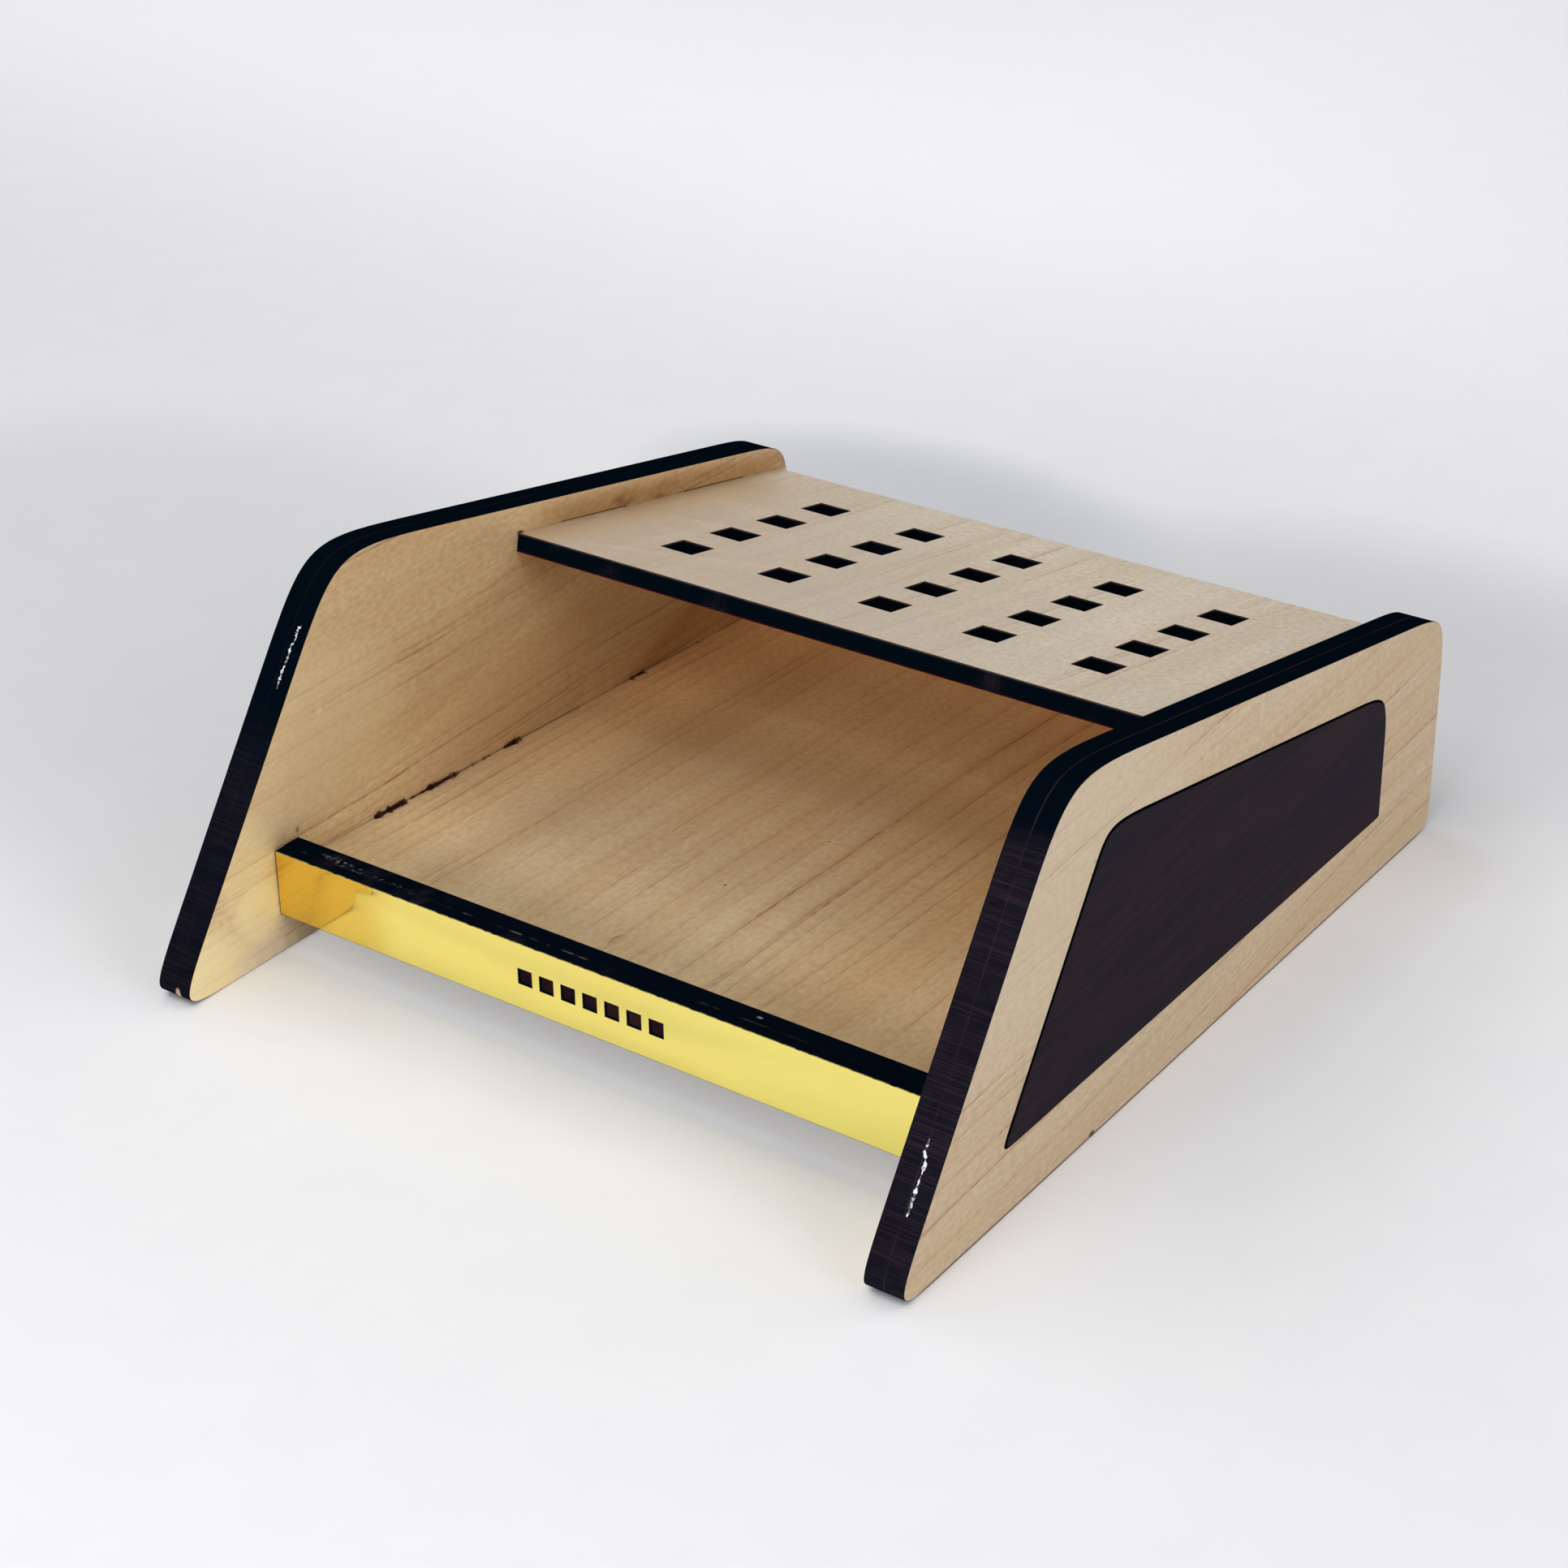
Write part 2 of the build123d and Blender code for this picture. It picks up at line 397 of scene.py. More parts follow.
def charred_edge(name, facing, black, extra=None):
    """Material of a board's cut edges. black gives the share of pure char, and extra paints over it."""
    material, tree = new_material(name)
    dark = black(tree)
    edge = place_effect(tree, burnt_group, facing=Vector(facing), black=dark)
    colour = extra(tree, edge["colour"]) if extra else edge["colour"]
    roughness = dark * -0.2 + 0.75
    finish_surface(tree, colour, edge["relief"], roughness, gloss=0.0, bump_height=0.00006)
    return material


def joint_burn(name, burns):
    """Scorch along a joint: a thin brown line, ragged char in places, and faint smoke round the char.

    Each burn is its middle and half length along the joint, and how far the char reaches from it.
    """
    takes = {"along": "value", "above": "value", "seed": "value"}
    tree, given, out = effect(name, takes, {"burn": "value"})
    along = given["along"]
    above = abs(given["above"])
    ragged = cloud(tree, along * 600, given["seed"], detail=3.0).fade(0.32, 0.68)
    patchy = cloud(tree, along * 1300, above * 1300, given["seed"] + 5, detail=3.0).fade(0.3, 0.6)
    shaky = (cloud(tree, along * 700, above * 900, given["seed"] + 3, detail=4.0) - 0.5) * 0.0016
    reach = None
    for middle, half, height in burns:
        lump = (abs(along - middle) - half + shaky).fade(0.0009, -0.0001) * height
        reach = lump if reach is None else reach.either(lump)
    burning = reach.fade(0.00004, 0.0002)
    char = (above + shaky - reach * (ragged * 0.9 + 0.2)).fade(0.0005, -0.0002) * burning
    char = char * (patchy * 0.5 + 0.5)
    smoke = (above - reach * 1.5 - ragged * 0.0005).fade(0.0009, 0.0) * burning * 0.16
    seam = above.fade(0.00018, 0.00004) * (ragged * 0.14 + 0.08)
    feed(tree, char.either(smoke).either(seam), out.inputs["burn"])
    return tree


cheek_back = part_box("left_cheek_inner")[1].y
cheek_depth = 0.150  # from the back edge to the sharp front corner, which the toe's curve cuts off
sharp_front = cheek_back - cheek_depth
bay_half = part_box("right_cheek_inner")[0].x
joint_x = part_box("right_cheek_inner")[1].x  # the plane in which the two skins are glued
floor_low, floor_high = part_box("floor_panel")
floor_slope = math.radians(2.25)
floor_fall = math.tan(floor_slope)
top_low, top_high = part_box("top_panel")
top_slope = math.radians(10.9)
top_fall = math.tan(top_slope)

floor_joint_burn = joint_burn("floor_joint_burn", [
    (-0.0385, 0.0060, 0.00008),
    (-0.0318, 0.0012, 0.00062),
    (-0.0283, 0.0020, 0.00045),
    (-0.0235, 0.0020, 0.00022),
    (-0.0185, 0.0028, 0.00036),
    (-0.0095, 0.0060, 0.00012),
    (-0.0016, 0.0015, 0.00050),
    (0.0305, 0.0014, 0.00050),
])
panel_joint_burn = joint_burn("panel_joint_burn", [
    (0.0026, 0.0009, 0.00018),
    (0.0060, 0.0045, 0.00006),
])


def spot(first, second, middle, size):
    """A soft oval spot: 1 in its middle, and 0 from its half widths outwards."""
    near = (first - middle[0]) / size[0]
    wide = (second - middle[1]) / size[1]
    return (near * near + wide * wide).fade(1.0, 0.1)


def strongest(first, second, places):
    """Several soft spots as one share. Each is its middle, its half widths and its own strength."""
    share = None
    for middle, size, strength in places:
        one = spot(first, second, middle, size) * strength
        share = one if share is None else share.either(one)
    return share


# Spots on the inner skins, by their places (y, z)
# The toe's spots are painted light, the glow of the front light and of the gold strip's reflection
toe_painted_glow = [
    ((-0.0715, 0.0035), (0.0135, 0.0090), 0.72),
    ((-0.0588, 0.0088), (0.0068, 0.0072), 0.75),
    ((-0.0610, 0.0175), (0.0080, 0.0100), 0.45),
]
pale_foot_spot = [((-0.0590, 0.0010), (0.0070, 0.0045), 0.45)]
pale_brow_spot = [((-0.0440, 0.0310), (0.0240, 0.0170), 0.4)]
smoke_blots = [
    ((0.0285, 0.0421), (0.0050, 0.0016), 1.0),
    ((0.0391, 0.0401), (0.0055, 0.0015), 1.0),
]
pale_smudge = [((-0.0432, 0.0347), (0.0008, 0.0011), 0.6)]
singed_specks = [
    ((-0.0496, 0.0181), (0.0006, 0.0008), 0.35),
    ((-0.0218, 0.0152), (0.0009, 0.0024), 0.12),
]


def cheek_marks(tree, colour):
    """Paints an inner skin: the painted glow on the toe, paler spots, smoke, painted shade low on the left
    skin, and the burns beside the slots.
    """
    place, _ = place_on(tree)
    x, y, z = parts_of(place)
    floor_line = (y - floor_low.y) * -floor_fall + floor_high.z
    over_panel = z + (y - top_low.y) * top_fall - top_high.z

    # Painted light: the glow that the front light and its reflection from the gold strip throw on the toe.
    # Paler spots lie by the foot and below the brow
    colour = mix(tree, colour, rgb(247, 229, 178), strongest(y, z, toe_painted_glow))
    colour = mix(tree, colour, rgb(226, 208, 188), strongest(y, z, pale_foot_spot))
    colour = mix(tree, colour, rgb(240, 218, 172), strongest(y, z, pale_brow_spot))

    # Smoke has turned the strip above the top panel golden, with darker blots. Painted shade darkens the
    # left skin low down, from under the top panel's front edge back
    drift = cloud(tree, y * 90, z * 300, 5.0, detail=2.0)
    smoky = over_panel.fade(0.0056, 0.002) * over_panel.fade(-0.0003, 0.0003) * y.fade(0.001, 0.016)
    colour = tint(tree, colour, (0.6, 0.44, 0.275), smoky * (drift * 0.5 + 0.6))
    painted_low_shade = y.fade(-0.034, 0.0) * (z - floor_line).fade(0.030, 0.004) * x.fade(0.0, -0.05)
    colour = mix(tree, colour, rgb(176, 128, 78), painted_low_shade * 0.5)
    patchy = cloud(tree, y * 260, z * 500, 3.0, detail=3.0).fade(0.4, 0.65)
    blots = strongest(y, z, smoke_blots)
    colour = mix(tree, colour, rgb(134, 84, 42), blots * (patchy * 0.7 + 0.15))
    colour = mix(tree, colour, rgb(232, 216, 190), strongest(y, z, pale_smudge) * patchy)

    below = place_effect(tree, floor_joint_burn, along=y, above=z - floor_line, seed=x * 200)
    above = place_effect(tree, panel_joint_burn, along=y, above=over_panel, seed=x * 200)
    burn = below["burn"].either(above["burn"] * y.fade(top_low.y, top_low.y + 0.001))
    return scorch(tree, colour, burn.either(strongest(y, z, singed_specks)))


cheek_facing = (1, 0, 0)


def cheek_black(tree):
    """Pure char where the edge looks up and high on the left cheek, and half as much lower on the left."""
    place, outward = place_on(tree)
    x, y, z = parts_of(place)
    looks_up = outward.dot((0.0, 0.0, 1.0)).fade(0.57, 0.7)
    on_left = x.fade(-0.055, -0.057) * (z.fade(0.026, 0.040) * 0.5 + 0.5)
    return looks_up.either(on_left)


def glue_seam(tree, colour):
    """The thin line of set glue between the two skins, and the chip in the left cheek's toe."""
    place, _ = place_on(tree)
    x, y, z = parts_of(place)
    from_seam = abs(abs(x) - joint_x)
    broken = cloud(tree, x * 40, y * 130, z * 130, detail=3.0)
    shown = from_seam.fade(0.00014, 0.00003) * (broken.fade(0.42, 0.62) * 0.7 + 0.3)
    colour = mix(tree, colour, rgb(78, 62, 62), shown * (x.fade(-0.05, 0.05) * 0.25 + 0.12))
    chip = spot(x, z, (-0.0603, 0.0016), (0.0006, 0.0012)) * y.fade(-0.060, -0.068)
    return mix(tree, colour, rgb(196, 158, 140), chip)


cheek_edge = charred_edge("cheek_edge", cheek_facing, cheek_black, glue_seam)

for side, seed in (("left", 3.0), ("right", 11.0)):
    skin = cut_board(side + "_cheek_inner", cheek_facing)
    veneer = maple_veneer(
        side + "_inner_skin",
        cheek_facing,
        grain=(0, 1, 0.03),
        seed=seed,
        tones=inner_tones,
        line_gap=0.0046,
        line_depth=0.9,
        marks=cheek_marks,
    )
    skin.data.materials.append(veneer)
    skin.data.materials.append(cheek_edge)

# Outer cheek skins.
# The same board without slots, but with a window for the inlay. The two skins of a cheek are glued face
# to face, and a thin line of glue shows between their black edges.
# Paler and more neutral than the inner tones, partly in the veneer and partly as a painted sheen
outer_tones = (rgb(213, 195, 162), rgb(202, 176, 136))
pale_brow = [((-0.0400, 0.0460), (0.0420, 0.0260), 0.3)]
knot_and_speck = [
    ((-0.0287, 0.0004), (0.0009, 0.0006), 0.9),
    ((-0.0302, 0.0428), (0.0005, 0.0003), 0.3),
]


def outer_marks(tree, colour):
    """Paints an outer skin: a paler brow, a knot, a speck, and a dark line along its foot."""
    place, _ = place_on(tree)
    x, y, z = parts_of(place)
    colour = mix(tree, colour, rgb(224, 213, 188), strongest(y, z, pale_brow))
    # The lowest half millimetre is darkened in the burn colours
    dark_foot_line = z.fade(0.0005, 0.0002) * 0.5
    return scorch(tree, colour, strongest(y, z, knot_and_speck).either(dark_foot_line))


for side, seed in (("left", 21.0), ("right", 27.0)):
    skin = cut_board(side + "_cheek_outer", cheek_facing)
    veneer = maple_veneer(
        side + "_outer_skin",
        cheek_facing,
        grain=(0, 1, 0.08),
        seed=seed,
        tones=outer_tones,
        line_gap=0.0045,
        line_depth=0.7,
        marks=outer_marks,
    )
    skin.data.materials.append(veneer)
    skin.data.materials.append(cheek_edge)

# Inlays.
# A dark veneered board laid in each window, just proud of the skin. The laser kerf leaves a hairline gap
# all round it.


def dark_veneer():
    """Dark smoked veneer: purple-brown, with fine reddish and blue-black streaks along the grain."""
    takes = {"grain": "vector", "across": "vector", "seed": "value"}
    tree, given, out = effect("dark_veneer", takes, {"colour": "colour", "relief": "value"})
    place, _ = place_on(tree)
    along = place.dot(given["grain"])
    across = place.dot(given["across"])
    seed = given["seed"]
    bend = (cloud(tree, across * 60, along * 20, seed) - 0.5) * 0.003
    streaks = cloud(tree, (across + bend) * 1100, along * 60, seed, detail=3.0)
    bands = cloud(tree, (across + bend) * 110, along * 14, seed + 8, detail=2.0)
    pores = cloud(tree, across * 2600, along * 160, seed + 3)
    colour = mix(tree, rgb(26, 22, 33), rgb(41, 26, 33), (streaks * 0.55 + bands * 0.45).fade(0.39, 0.61))
    colour = mix(tree, colour, rgb(17, 16, 27), pores.fade(0.48, 0.7) * 0.55)
    feed(tree, colour, out.inputs["colour"])
    feed(tree, pores * -1, out.inputs["relief"])
    return tree


dark_group = dark_veneer()


def all_black(tree):
    """Pure char nearly everywhere."""
    place, _ = place_on(tree)
    x, y, z = parts_of(place)
    return cloud(tree, x * 150, y * 150, z * 150).fade(0.2, 0.45)


inlay_edge = charred_edge("inlay_edge", cheek_facing, all_black)

for side, seed in (("left", 41.0), ("right", 47.0)):
    inlay = cut_board(side + "_inlay", cheek_facing)
    material, tree = new_material(side + "_inlay_veneer")
    grain = Vector((0, 1, 0.05)).normalized()
    across = Vector(cheek_facing).cross(grain)
    veneer = place_effect(tree, dark_group, grain=grain, across=across, seed=seed)
    roughness = veneer["relief"] * 0.1 + 0.6
    finish_surface(
        tree, veneer["colour"], veneer["relief"], roughness, gloss=0.035, bump_height=0.00005
    )
    inlay.data.materials.append(material)
    inlay.data.materials.append(inlay_edge)

# Floor.
# The sloping board that the note paper lies on, with its grain running from front to back. Smoke from the
# slots has stained it along both cheeks.
singed_dots = [
    ((-0.0033, -0.0191), (0.00022, 0.00035), 0.6),
    ((0.0011, 0.0009), (0.00022, 0.00035), 0.6),
]
singed_curl = (-0.0064, -0.0411)
curl_bow = 120  # its sideways bow, for the square of the distance from its middle


def floor_marks(tree, colour):
    """Paints the floor: painted light and shade across it, stains along the cheeks, and a few small burns.
    """
    place, _ = place_on(tree)
    x, y, z = parts_of(place)
    beside = abs(x) * -1 + bay_half
    burn = place_effect(tree, floor_joint_burn, along=y, above=beside, seed=x * 200)["burn"]
    from_curl = y - singed_curl[1]
    curl = spot(x - from_curl * from_curl * curl_bow, y, singed_curl, (0.0004, 0.0024))
    burn = burn.either(curl * 0.3).either(strongest(x, y, singed_dots))

    # Painted light and shade: darker behind the rail, in its shadow, darker and yellower under the front
    # edge of the top panel, in its shade, and much lighter deep under the top panel, for light bounced
    # between the boards. The board is also made yellower on the right and lighter along the left cheek
    colour = tint(tree, colour, (0.82, 0.82, 0.79), y.fade(-0.028, -0.042))
    colour = tint(tree, colour, (0.87, 0.79, 0.71), y.fade(-0.018, 0.0))
    colour = tint(tree, colour, (1.46, 1.42, 1.28), y.fade(0.001, 0.038))
    colour = tint(tree, colour, (0.98, 0.92, 0.82), x.fade(0.0, 0.028))
    colour = tint(tree, colour, (1.22, 1.23, 1.19), x.fade(-0.036, -0.050))
    colour = mix(tree, colour, rgb(150, 104, 62), beside.fade(0.002, 0.0) * 0.12)
    return scorch(tree, colour, burn)


floor_facing = (0, math.sin(floor_slope), math.cos(floor_slope))
floor_board = cut_board("floor_panel", floor_facing)
flat_edge = charred_edge("flat_board_edge", floor_facing, all_black)
# Warmer than the outer and top tones, partly in the veneer and partly as painted light bounced between the
# boards
floor_tones = (rgb(213, 193, 156), rgb(203, 176, 135))
floor_veneer = maple_veneer(
    "floor_veneer",
    floor_facing,
    grain=(0, 1, -floor_fall),
    seed=54.0,
    tones=floor_tones,
    line_gap=0.0055,
    line_depth=1.0,
    marks=floor_marks,
)
floor_board.data.materials.append(floor_veneer)
floor_board.data.materials.append(flat_edge)

# Front rail.
# A low board with black edges. The gold strip is stuck on its front, a broken pale line shows between the
# two, and the left end of its top is scuffed.
rail_facing = (0, 1, 0)
rail_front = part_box("rail_backing")[0].y
scuff_slant = 0.104  # how far the scuffed patch turns away from the rail's length


def rail_scuffs(tree, colour):
    """Paints the rail's upper edge: the broken pale line, the scuffs and a light speck."""
    place, outward = place_on(tree)
    x, y, z = parts_of(place)
    on_top = outward.dot((0.0, 0.0, 1.0)).fade(0.7, 0.95)
    broken = cloud(tree, x * 330, y * 200, 4.0, detail=3.0)
    seam = abs(y - rail_front).fade(0.00022, 0.00004) * broken.fade(0.5, 0.62) * x.fade(0.045, -0.035)
    colour = mix(tree, colour, rgb(128, 116, 104), seam * on_top * 0.8)
    crumbs = cloud(tree, x * 1400, y * 1700, 9.0, detail=3.0).fade(0.5, 0.64)
    patch = spot(x, y + x * scuff_slant, (-0.0468, -0.0567), (0.0062, 0.0008))
    trail = spot(x, y, (-0.0385, -0.0522), (0.0060, 0.0004)) * 0.5
    colour = mix(tree, colour, rgb(112, 112, 116), patch.either(trail) * crumbs * on_top * 0.7)
    speck = spot(x, y, (0.0262, -0.0512), (0.0006, 0.0003))
    return mix(tree, colour, rgb(150, 160, 170), speck * on_top * 0.5)


rail_edge = charred_edge("rail_edge", rail_facing, all_black, rail_scuffs)
rail_board = cut_board("rail_backing", rail_facing)
rail_board.data.materials.append(maple_veneer("rail_veneer", rail_facing, (1, 0, 0), 63.0, floor_tones))
rail_board.data.materials.append(rail_edge)

# Gold strip.
# Mirror sheet, cut with the laser and engraved with a row of plain squares that are painted black. The cut
# melts its front arris into a thin ridge, with a painted pale highlight along it.
strip_low, strip_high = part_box("rail_gold_strip")


def scuffs_and_arris_highlight(tree, colour):
    """Paints the strip's edges: the rail's scuffs run on over them, and a painted pale highlight lies along
    the front arris.
    """
    place, outward = place_on(tree)
    x, y, z = parts_of(place)
    lean = outward.dot((0.0, -1.0, 0.0))
    at_front = y.fade(strip_low.y + 0.0003, strip_low.y + 0.0002)
    at_top = z.fade(strip_high.z - 0.0003, strip_high.z - 0.0002)
    wavy = cloud(tree, x * 700, 6.0, detail=2.0).fade(0.35, 0.6)
    colour = rail_scuffs(tree, colour)
    # The pale line along the front arris is a painted highlight
    return mix(tree, colour, rgb(186, 160, 104), lean.fade(0.3, 0.6) * at_front * at_top * wavy)


strip = cut_board("rail_gold_strip", rail_facing, ease=0.00012)

# Only the uncut front is mirror: the edges and the sunk squares are black
for face in strip.data.polygons:
    is_front = face.normal.y < -0.99 and face.center.y < strip_low.y + 0.0001
    face.material_index = 0 if is_front else 1
gold, tree = new_material("gold_mirror_sheet")
place, _ = place_on(tree)
x, y, z = parts_of(place)
haze = cloud(tree, x * 60, z * 90, detail=3.0)
waves = cloud(tree, x * 26, z * 40, detail=1.0)
tree.nodes["Principled BSDF"].inputs["Metallic"].default_value = 1.0
# The sheet is brighter towards its right end; the orange tint of its left end is a painted reflection of
# the left cheek's wood
gold_colour = mix(tree, rgb(255, 238, 134), rgb(250, 231, 124), haze)
gold_colour = mix(tree, gold_colour, rgb(255, 243, 138), x.fade(0.0, 0.05) * 0.6)
gold_colour = mix(tree, gold_colour, rgb(243, 208, 97), x.fade(-0.034, -0.042) * 0.9)
finish_surface(tree, gold_colour, waves, haze * 0.04 + 0.04, gloss=0.5, bump_height=0.00004)
strip.data.materials.append(gold)
strip.data.materials.append(charred_edge("strip_edge", rail_facing, all_black, scuffs_and_arris_highlight))

# Back panel.
# An upright board between the cheeks, which stops the paper. It stands in its own slots, under the top
# panel.
back_board = cut_board("back_panel", rail_facing)
back_tones = (rgb(214, 182, 134), rgb(202, 162, 112))
back_board.data.materials.append(maple_veneer("back_veneer", rail_facing, (1, 0, 0), 81.0, back_tones))
back_board.data.materials.append(rail_edge)

# Top panel.
# A board over the back half of the tray, with four rows of five square holes, in slots of its own. Smoke
# has stained it along the left cheek, and painted warm light from the cheek and painted shade lie over its
# left side.


def top_marks(tree, colour):
    """Paints the top panel: smoke and painted warm light along the left cheek, painted shade, a browner
    underside, and burns at its slots.
    """
    place, outward = place_on(tree)
    x, y, z = parts_of(place)
    beside = abs(x) * -1 + bay_half

    # A smoke stain along the left cheek, with painted warm light from the cheek in it, darker close to the
    # cheek, and painted shade over the left half
    drift = cloud(tree, x * 90, y * 70, 2.0, detail=3.0)
    reach = drift * 0.007 + 0.013
    stain_and_bounce_light = (beside / reach).fade(1.0, 0.0) * x.fade(0.0, -0.01) * y.fade(0.068, 0.055)
    colour = mix(tree, colour, rgb(176, 143, 92), stain_and_bounce_light * 0.8)
    creep = beside.fade(0.0026, 0.0) * x.fade(0.0, -0.01) * y.fade(0.015, 0.03)
    colour = mix(tree, colour, rgb(132, 102, 62), creep * 0.5)
    haze = spot(x, y, (-0.062, 0.0), (0.11, 0.085))
    colour = mix(tree, colour, rgb(183, 161, 135), haze * 0.5)
    # Painted shade by the right cheek
    colour = tint(tree, colour, (0.95, 0.94, 0.91), x.fade(0.034, 0.046))

    under = outward.dot((0.0, 0.0, -1.0)).fade(0.4, 0.8)
    colour = mix(tree, colour, rgb(196, 148, 96), under * 0.6)
    blot = spot(x, y, (-0.0565, 0.0182), (0.0016, 0.0026))
    colour = mix(tree, colour, rgb(120, 78, 46), blot * drift.fade(0.4, 0.6) * 0.6)
    burn = place_effect(tree, panel_joint_burn, along=y, above=beside, seed=x * 200)["burn"]
    return scorch(tree, colour, burn)


top_facing = (0, math.sin(top_slope), math.cos(top_slope))
top_board = cut_board("top_panel", top_facing)
# Paler and more neutral than the inner tones, partly in the veneer and partly as a painted sheen of the
# glancing light
top_tones = (rgb(221, 211, 192), rgb(210, 195, 171))
top_veneer = maple_veneer(
    "top_veneer",
    top_facing,
    grain=(0, 1, -top_fall),
    seed=92.0,
    tones=top_tones,
    line_gap=0.009,
    line_depth=0.85,
    marks=top_marks,
)
top_board.data.materials.append(top_veneer)


def panel_arrises(tree, colour):
    """The panel's cut edges are burnt red along the lower arris, and faintly pale along the upper one."""
    place, _ = place_on(tree)
    x, y, z = parts_of(place)
    upper_face = top_high.z * top_facing[2] + top_low.y * top_facing[1]
    below_face = place.dot(top_facing) * -1 + upper_face
    ragged = cloud(tree, x * 300, 8.0, detail=2.0)
    colour = mix(tree, colour, rgb(96, 24, 16), below_face.fade(0.0026, 0.0029) * (ragged * 0.5 + 0.5))
    return mix(tree, colour, rgb(92, 78, 72), below_face.fade(0.0002, 0.00006) * ragged * 0.8)


top_board.data.materials.append(charred_edge("top_panel_edge", top_facing, all_black, panel_arrises))

# Dried glue.
# Two runs of clear glue have squeezed out between the skins of the cheeks and set as shiny beads on their
# front edges.
front_rake = math.radians(56)
bead_radius = 0.0003  # of a common lump
bead_flatness = 0.7  # its height over its half width
bead_sunk = 0.00003  # how far its flat side lies in the board
lump_sizes = (0.08, 0.3, 0.8, 1.2)  # shares of the bead's radius


def glue_run(name, points, seed):
    """A lumpy half-round bead on a cheek's front edge. points are (x, distance up the edge)."""
    lumps = random.Random(seed)
    outward = Vector((0, -math.sin(front_rake), math.cos(front_rake)))
    up_edge = Vector((0, math.cos(front_rake), math.sin(front_rake)))
    shape = bmesh.new()
    rings = []
    steps = 9  # rings from one point to the next
    around = 8  # corners of a ring
    for k in range((len(points) - 1) * steps + 1):
        span, share = divmod(k / steps, 1)
        first = points[min(int(span), len(points) - 1)]
        second = points[min(int(span) + 1, len(points) - 1)]
        across = first[0] + (second[0] - first[0]) * share
        up = first[1] + (second[1] - first[1]) * share

        # The bead thins out towards both of its ends, and its lumps differ
        ends = min(k, (len(points) - 1) * steps - k)
        radius = bead_radius * min(1, 0.35 + ends / 4) * lumps.choice(lump_sizes)
        middle = Vector((across, sharp_front, 0)) + up_edge * up
        ring = []
        for j in range(around):
            turn = math.pi * j / (around - 1)
            aside = Vector((1, 0, 0)) * math.cos(turn) * radius
            rise = outward * (math.sin(turn) * radius * bead_flatness - bead_sunk)
            ring.append(shape.verts.new(middle + aside + rise))
        rings.append(ring)
    for near, far in zip(rings, rings[1:]):
        for j in range(around):
            beside = (j + 1) % around
            shape.faces.new((near[j], near[beside], far[beside], far[j]))
    shape.faces.new(rings[0])
    shape.faces.new(rings[-1])
    bmesh.ops.recalc_face_normals(shape, faces=shape.faces)
    for face in shape.faces:
        face.smooth = True
    mesh = bpy.data.meshes.new(name)
    shape.to_mesh(mesh)
    shape.free()
    bead = bpy.data.objects.new(name, mesh)
    bpy.context.scene.collection.objects.link(bead)
    smooth = bead.modifiers.new("rounded", "SUBSURF")
    smooth.levels = 2
    smooth.render_levels = 2
    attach(bead, "root")
    return bead


dried_glue, tree = new_material("dried_glue")
shader = tree.nodes["Principled BSDF"]
place, _ = place_on(tree)
x, y, z = parts_of(place)
# The pale clots are painted highlights on the beads
glint_clots = cloud(tree, x * 1400, y * 1400, z * 1400)
glue_colour = mix(tree, rgb(10, 10, 14), rgb(226, 229, 234), glint_clots.fade(0.46, 0.58))
feed(tree, glue_colour, shader.inputs["Base Color"])
feed(tree, glint_clots * 0.08 + 0.05, shader.inputs["Roughness"])
shader.inputs["Coat Weight"].default_value = 0.8
left_run = [
    (-0.0594, 0.0583),
    (-0.0599, 0.0575),
    (-0.0597, 0.0562),
    (-0.0601, 0.0548),
    (-0.0600, 0.0530),
    (-0.0602, 0.0508),
    (-0.0601, 0.0484),
]
right_run = [
    (0.0611, 0.0226),
    (0.0610, 0.0208),
    (0.0616, 0.0192),
    (0.0615, 0.0172),
    (0.0615, 0.0150),
    (0.0614, 0.0123),
]
for name, run, seed in (("left_glue_run", left_run, 1), ("right_glue_run", right_run, 2)):
    glue_run(name, run, seed).data.materials.append(dried_glue)

# Desk and light.
# A seamless pale paper sheet under an even white room. Soft lamps stand round it, and the one low in front
# is small, so that the strip throws its light back on the sheet as a warm patch.
sheet_half = 3.0
sheet_mesh = bpy.data.meshes.new("desk_sheet")
unit_square = ((-1, -1), (1, -1), (1, 1), (-1, 1))
corners = [(across * sheet_half, deep * sheet_half, 0) for across, deep in unit_square]
sheet_mesh.from_pydata(corners, [], [(0, 1, 2, 3)])
desk = bpy.data.objects.new("desk_sheet", sheet_mesh)
bpy.context.scene.collection.objects.link(desk)


def seen_plainly(tree):
    """1 for rays that show a thing, straight on or in a reflection, and 0 for rays that light others."""
    rays = add_node(tree, "ShaderNodeLightPath")
    seen = Signal(tree, rays.outputs["Is Camera Ray"]).either(Signal(tree, rays.outputs["Is Glossy Ray"]))
    return seen.either(Signal(tree, rays.outputs["Is Transmission Ray"]))


paper, tree = new_material("pale_paper")
place, _ = place_on(tree)
x, y, z = parts_of(place)
mottle = cloud(tree, x * 90, y * 90, detail=5.0)
paper_colour = mix(tree, rgb(242, 242, 244), rgb(237, 237, 240), mottle)

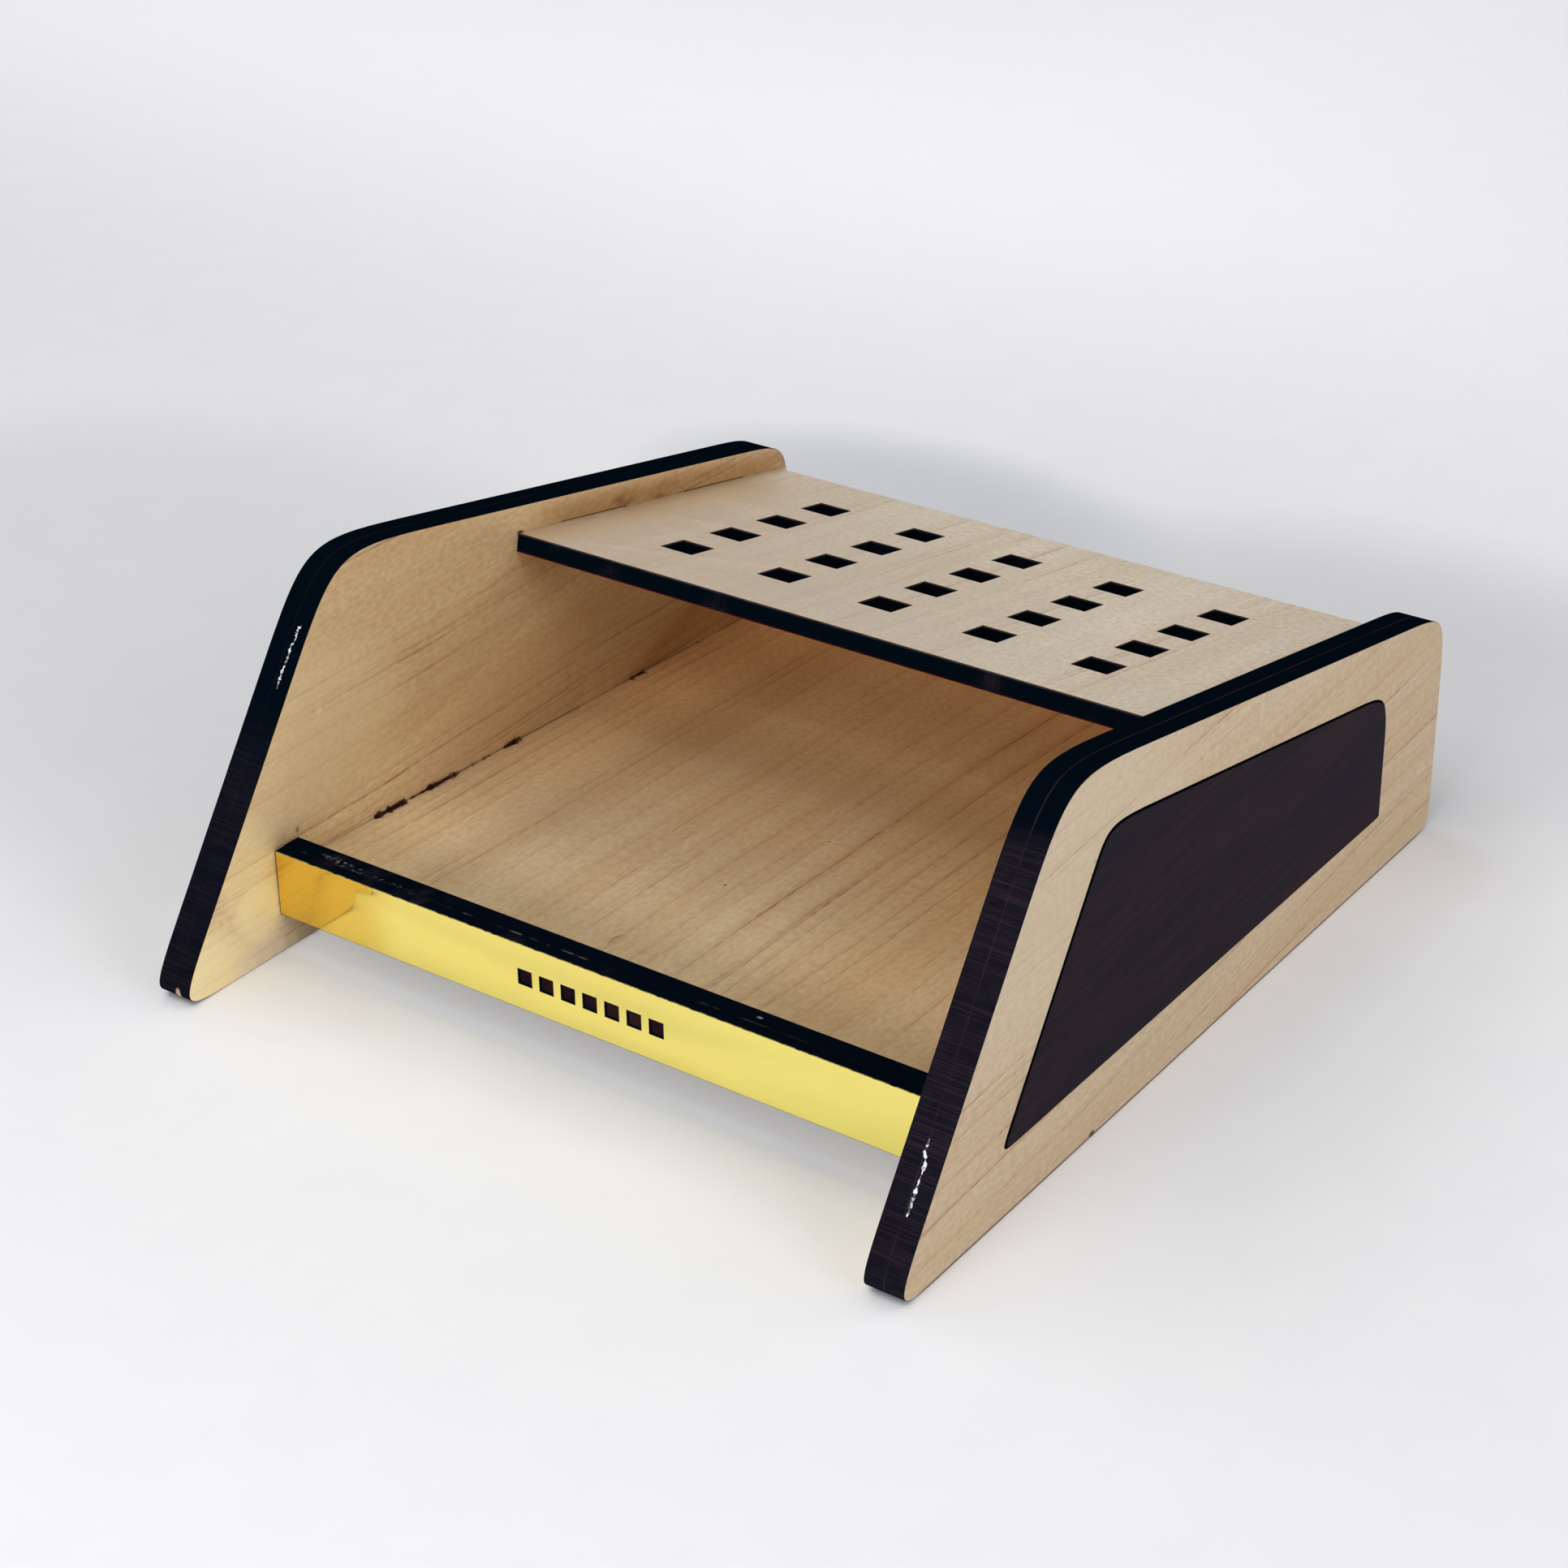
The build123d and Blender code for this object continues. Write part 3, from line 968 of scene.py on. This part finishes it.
# Painted shade far left, painted shadows behind and close behind the top panel, a faint painted shade under
# the strip, and flecks
painted_left_shade = spot(x, y, (-0.17, 0.01), (0.13, 0.11)) * 0.42
painted_rear_shadow = spot(x, y, (0.03, 0.112), (0.095, 0.075)) * 0.6
painted_close_shadow = spot(x, y, (-0.074, 0.132), (0.066, 0.037)) * 0.7
paper_colour = mix(tree, paper_colour, rgb(200, 201, 204), painted_left_shade)
paper_colour = mix(tree, paper_colour, rgb(200, 201, 204), painted_rear_shadow)
paper_colour = mix(tree, paper_colour, rgb(197, 200, 206), painted_close_shadow)
painted_shade_by_strip = y.fade(-0.0720, -0.0620) * y.fade(-0.0545, -0.0590) * abs(x).fade(0.062, 0.050)
paper_colour = tint(tree, paper_colour, (0.945, 0.955, 0.985), painted_shade_by_strip)
for middle in ((-0.0574, -0.0482), (-0.0554, -0.0468), (-0.0218, -0.0469)):
    fleck = spot(x, y, middle, (0.0008, 0.0005))
    paper_colour = mix(tree, paper_colour, rgb(150, 146, 150), fleck * 0.3)
finish_surface(tree, paper_colour, mottle, roughness=0.9, gloss=0.1, bump_height=0.0001)

# The sheet glows softly far back, far on the left and in front, where a backdrop would catch more light,
# and under the front of the floor, where light that comes in low below the rail lifts the shade. Out by
# the lamps it glows until it is as bright as the room behind it, so that no grey band shows between them
glow = y.fade(0.10, 0.36) * 0.105 + y.fade(-0.09, -0.17) * 0.04
glow = glow + y.fade(0.10, 0.33) * x.fade(0.08, -0.20) * 0.11
under_floor = y.fade(-0.0562, -0.0488) * y.fade(0.060, 0.0) * abs(x).fade(0.0585, 0.0570)
glow = glow + under_floor * 0.28
from_holder = (x * x + y * y).math("SQRT")
glow = glow + from_holder.fade(0.7, 1.25) * 0.55
shader = tree.nodes["Principled BSDF"]
shader.inputs["Emission Color"].default_value = (1, 1, 1, 1)
feed(tree, glow * seen_plainly(tree), shader.inputs["Emission Strength"])
sheet_mesh.materials.append(paper)

# The room looks brighter to the eye than it lights, and in reflections it lies between the two
room_light = 0.195
room_look = 0.85
room_mirrored = 0.5
world = bpy.data.worlds.new("white_room")
world.use_nodes = True
tree = world.node_tree
background = tree.nodes["Background"]
background.inputs["Color"].default_value = (0.965, 0.98, 1, 1)
rays = add_node(tree, "ShaderNodeLightPath")
mirrored = Signal(tree, rays.outputs["Is Glossy Ray"])
mirrored = mirrored.either(Signal(tree, rays.outputs["Is Transmission Ray"]))
room = Signal(tree, rays.outputs["Is Camera Ray"]) * (room_look - room_light)
room = room.either(mirrored * (room_mirrored - room_light))
feed(tree, room + room_light, background.inputs["Strength"])
bpy.context.scene.world = world


def soft_box(name, azimuth, elevation, distance, size, watts):
    """A square soft light that looks at the holder. Azimuth 0 is straight in front, and 90 to its right."""
    lamp = bpy.data.lights.new(name, "AREA")
    lamp.size = size
    lamp.energy = watts
    turn = math.radians(azimuth)
    rise = math.radians(elevation)
    outward = Vector((math.sin(turn) * math.cos(rise), -math.cos(turn) * math.cos(rise), math.sin(rise)))
    box = bpy.data.objects.new(name, lamp)
    box.location = outward * distance
    box.rotation_mode = "QUATERNION"
    box.rotation_quaternion = outward.to_track_quat("Z", "Y")
    bpy.context.scene.collection.objects.link(box)


# Azimuth and elevation in degrees, distance and size in metres, and watts
lamps = {
    "front_light": (5, 15, 0.9, 0.35, 2.8),
    "high_front_light": (5, 60, 1.0, 0.6, 3.0),
    "right_light": (80, 25, 1.2, 0.7, 3.8),
    "right_rear_light": (140, 45, 1.2, 0.7, 3.0),
    "left_rear_light": (-110, 45, 1.2, 0.7, 2.35),
    "left_light": (-60, 60, 1.2, 0.7, 1.7),
}
for name, (azimuth, elevation, distance, size, watts) in lamps.items():
    soft_box(name, azimuth, elevation, distance, size, watts)
